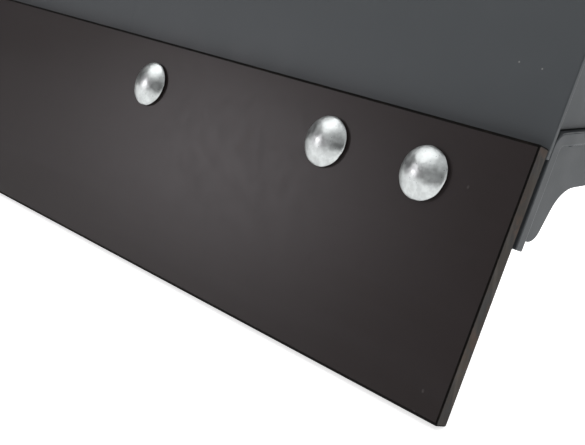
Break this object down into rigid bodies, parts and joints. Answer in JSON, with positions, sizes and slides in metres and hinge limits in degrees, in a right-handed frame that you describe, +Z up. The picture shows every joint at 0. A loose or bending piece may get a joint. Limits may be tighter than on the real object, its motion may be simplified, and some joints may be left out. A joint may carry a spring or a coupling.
{
  "type": "snow plow blade",
  "caption": "Tripping plow blade: curved moldboard on ribs, bolted wear bar, sprung trip frame with king-pin sleeve, swivelling skid shoes.",
  "frame": {"origin": "on the ground, at the middle of the footprint", "axes": "+X to the blade's right end seen from the front, -Y the way the moldboard faces, +Z up"},
  "size_m": [1.524, 0.3516, 0.4616],
  "materials": {
    "powder_coat": "satin powder coat",
    "mill_steel": "hot-rolled mill scale",
    "zinc": "zinc plated",
    "spring_steel": "black coated",
    "bumper_rubber": "matte",
    "cap_plastic": "moulded",
    "shoe_iron": "black painted casting"
  },
  "bodies": {
    "trip_frame": {"trip_crossbar": "powder_coat", "crossbar_caps": "cap_plastic", "trip_lug_left": "powder_coat", "trip_lug_right": "powder_coat", "pivot_tube_left": "powder_coat", "pivot_tube_right": "powder_coat", "stop_tab_left": "powder_coat", "stop_tab_right": "powder_coat", "stop_pads": "bumper_rubber", "king_pin_sleeve": "powder_coat", "sector_plate": "powder_coat", "sleeve_gusset": "powder_coat", "spring_bracket_left": "powder_coat", "spring_bracket_right": "powder_coat", "eye_bolts": "zinc", "eye_bolt_nuts": "zinc"},
    "blade": {"moldboard": "powder_coat", "bottom_flange": "powder_coat", "wear_bar": "mill_steel", "carriage_bolts": "zinc", "edge_washers": "zinc", "edge_nuts": "zinc", "end_rib_left": "powder_coat", "end_rib_right": "powder_coat", "mid_rib_left": "powder_coat", "mid_rib_right": "powder_coat", "pivot_rib_left_outer": "powder_coat", "pivot_rib_left_inner": "powder_coat", "pivot_rib_right_outer": "powder_coat", "pivot_rib_right_inner": "powder_coat", "trip_pin_left": "zinc", "trip_pin_right": "zinc", "trip_pin_clips": "zinc", "spring_anchor_bolts": "zinc", "spring_anchor_nuts": "zinc", "skid_sleeve_left": "powder_coat", "skid_sleeve_right": "powder_coat", "skid_gusset_left": "powder_coat", "skid_gusset_right": "powder_coat", "trip_spring_left": "spring_steel", "trip_spring_right": "spring_steel"},
    "skid_left": {"skid_shoe_left": "shoe_iron", "skid_post_left": "zinc", "skid_spacers_left": "zinc", "skid_clip_left": "zinc"},
    "skid_right": {"skid_shoe_right": "shoe_iron", "skid_post_right": "zinc", "skid_spacers_right": "zinc", "skid_clip_right": "zinc"}
  },
  "joints": [
    {"name": "trip_hinge", "type": "hinge", "parent": "trip_frame", "child": "blade", "pos_m": [0, -0.05522, 0.13], "axis": [1, 0, 0], "range_deg": [0, 45], "stiffness_Nm_per_rad": 200, "springref_deg": -25.78, "deforming": ["trip_spring_left", "trip_spring_right"]},
    {"name": "skid_left_swivel", "type": "hinge", "parent": "blade", "child": "skid_left", "pos_m": [-0.555, -0.06272, 0.126], "axis": [0, 0, 1], "continuous": true},
    {"name": "skid_right_swivel", "type": "hinge", "parent": "blade", "child": "skid_right", "pos_m": [0.555, -0.06272, 0.126], "axis": [0, 0, 1], "continuous": true}
  ]
}
